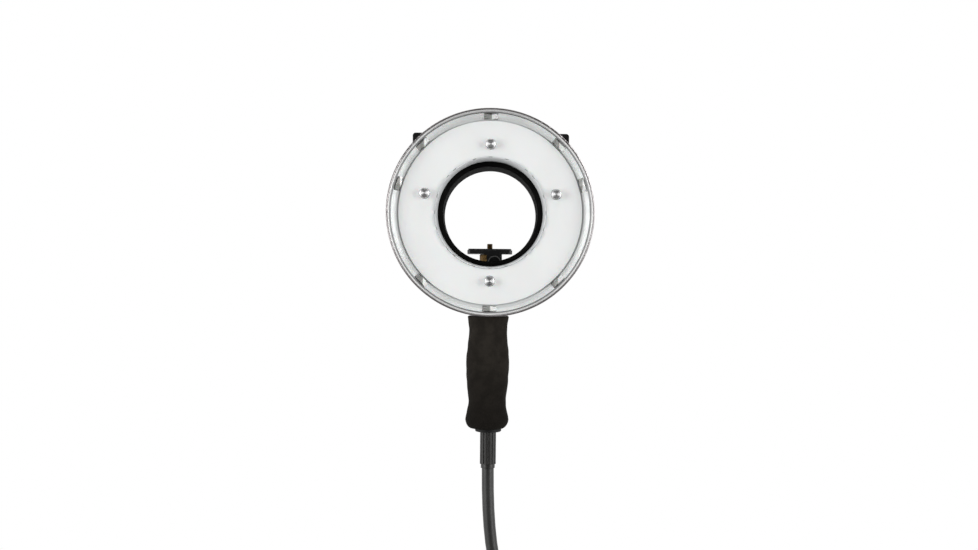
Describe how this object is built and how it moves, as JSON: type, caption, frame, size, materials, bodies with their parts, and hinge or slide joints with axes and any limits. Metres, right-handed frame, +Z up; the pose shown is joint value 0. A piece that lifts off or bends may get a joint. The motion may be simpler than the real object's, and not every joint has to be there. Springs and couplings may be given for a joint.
{
  "type": "studio ring flash",
  "caption": "Round studio flash head with a frosted ring round a lens port, a soft grip with its lamp cable, and a sliding camera bracket behind.",
  "frame": {"origin": "the mouth of the stand thread under the bracket's arm, which holds the whole part up", "axes": "-Y is the way the flash faces along the lens port's axis, +Z is up, and +X is to the right for someone who looks at the flash's front"},
  "size_m": [0.2218, 0.22, 0.7406],
  "materials": {
    "rim_black": "smooth black bead with a soft gloss",
    "casing_black": "fine black crackle paint",
    "pan_metal": "polished reflector sheet",
    "collar_pale": "smooth pale wall",
    "diffuser_opal": "frosted opal",
    "bright_steel": "turned bright steel",
    "tube_black": "matt black inside and out",
    "quartz": "clear tube",
    "ceramic_white": "unglazed",
    "board_green": "glass-fibre board",
    "housing_black": "fine moulded grain",
    "screw_black": "blackened screws",
    "fan_black": "smooth moulding",
    "coil_brown": "potted transformer",
    "block_white": "moulded terminal block",
    "loom_grey": "sleeved wires",
    "grip_foam": "soft closed-cell foam",
    "core_metal": "plain drawn tube",
    "cap_black": "smooth moulding",
    "relief_rubber": "moulded rubber with flutes",
    "cable_rubber": "smooth rubber sheath",
    "tie_fabric": "woven hook and loop strap",
    "arm_black": "satin black paint with worn edges",
    "stand_steel": "turned steel",
    "knob_black": "moulded knob on a steel shaft",
    "pad_rubber": "ribbed rubber",
    "screw_brass": "knurled brass",
    "plug_black": "moulded plug",
    "plug_metal": "turned collar with ribs",
    "pin_brass": "plated pins"
  },
  "bodies": {
    "head": {"front_rim": "rim_black", "rim_trim": "bright_steel", "front_casing": "casing_black", "reflector_pan": "pan_metal", "inner_collar": "collar_pale", "diffuser": "diffuser_opal", "diffuser_studs": "bright_steel", "stud_washers": "bright_steel", "dome_nuts": "bright_steel", "rim_clips": "bright_steel", "lens_tube": "tube_black", "flash_tube_left": "quartz", "flash_tube_right": "quartz", "tube_sockets": "ceramic_white", "tube_clamps": "bright_steel", "trigger_wire": "bright_steel", "insulator_plate": "board_green", "insulator_spacers": "ceramic_white", "rear_housing": "housing_black", "rear_cover": "housing_black", "cover_screws": "screw_black", "casing_screws": "screw_black", "fan_frame": "fan_black", "trigger_transformer": "coil_brown", "terminal_block": "block_white", "wiring_loom": "loom_grey", "handle_saddle": "arm_black", "handle_bolts": "screw_black", "handle_core": "core_metal", "handle_grip": "grip_foam", "handle_end_cap": "cap_black", "cable_gland": "cap_black", "strain_relief": "relief_rubber", "rail_foot": "arm_black", "rail": "arm_black", "rail_screws": "screw_black", "stand_socket": "stand_steel", "cable": "cable_rubber", "cable_coil": "cable_rubber", "cable_tail": "cable_rubber", "coil_ties": "tie_fabric", "plug_nut": "plug_black", "plug_body": "plug_black", "plug_pins": "pin_brass"},
    "carriage": {"carriage_block": "arm_black", "carriage_column": "arm_black", "column_screws": "screw_black"},
    "carriage_clamp": {"carriage_knob": "knob_black"},
    "platform": {"camera_platform": "arm_black", "platform_pad": "pad_rubber"},
    "camera_fixing": {"camera_screw": "screw_brass"},
    "height_clamp": {"height_knob": "knob_black"},
    "fan": {"fan_rotor": "fan_black"},
    "locking_collar": {"plug_collar": "plug_metal"}
  },
  "joints": [
    {"name": "carriage_slide", "type": "slide", "parent": "head", "child": "carriage", "axis": [0, 1, 0], "range_m": [-0.013, 0.045]},
    {"name": "carriage_clamp_turn", "type": "hinge", "parent": "carriage", "child": "carriage_clamp", "pos_m": [0, 0.04, 0.01], "axis": [0, 0, 1], "continuous": true},
    {"name": "platform_lift", "type": "slide", "parent": "carriage", "child": "platform", "axis": [0, 0, 1], "range_m": [-0.014, 0]},
    {"name": "camera_screw_turn", "type": "hinge", "parent": "platform", "child": "camera_fixing", "pos_m": [0, 0.04, 0.06], "axis": [0, 0, 1], "continuous": true},
    {"name": "height_clamp_turn", "type": "hinge", "parent": "platform", "child": "height_clamp", "pos_m": [0.005, 0.015, 0.055], "axis": [0, 1, 0], "continuous": true},
    {"name": "fan_spin", "type": "hinge", "parent": "head", "child": "fan", "pos_m": [0.0553, -0.028, 0.1589], "axis": [0, 1, 0], "continuous": true},
    {"name": "locking_collar_turn", "type": "hinge", "parent": "head", "child": "locking_collar", "pos_m": [0.09928, -0.0624, -0.51556], "axis": [0, 0, -1], "range_deg": [0, 60]}
  ]
}
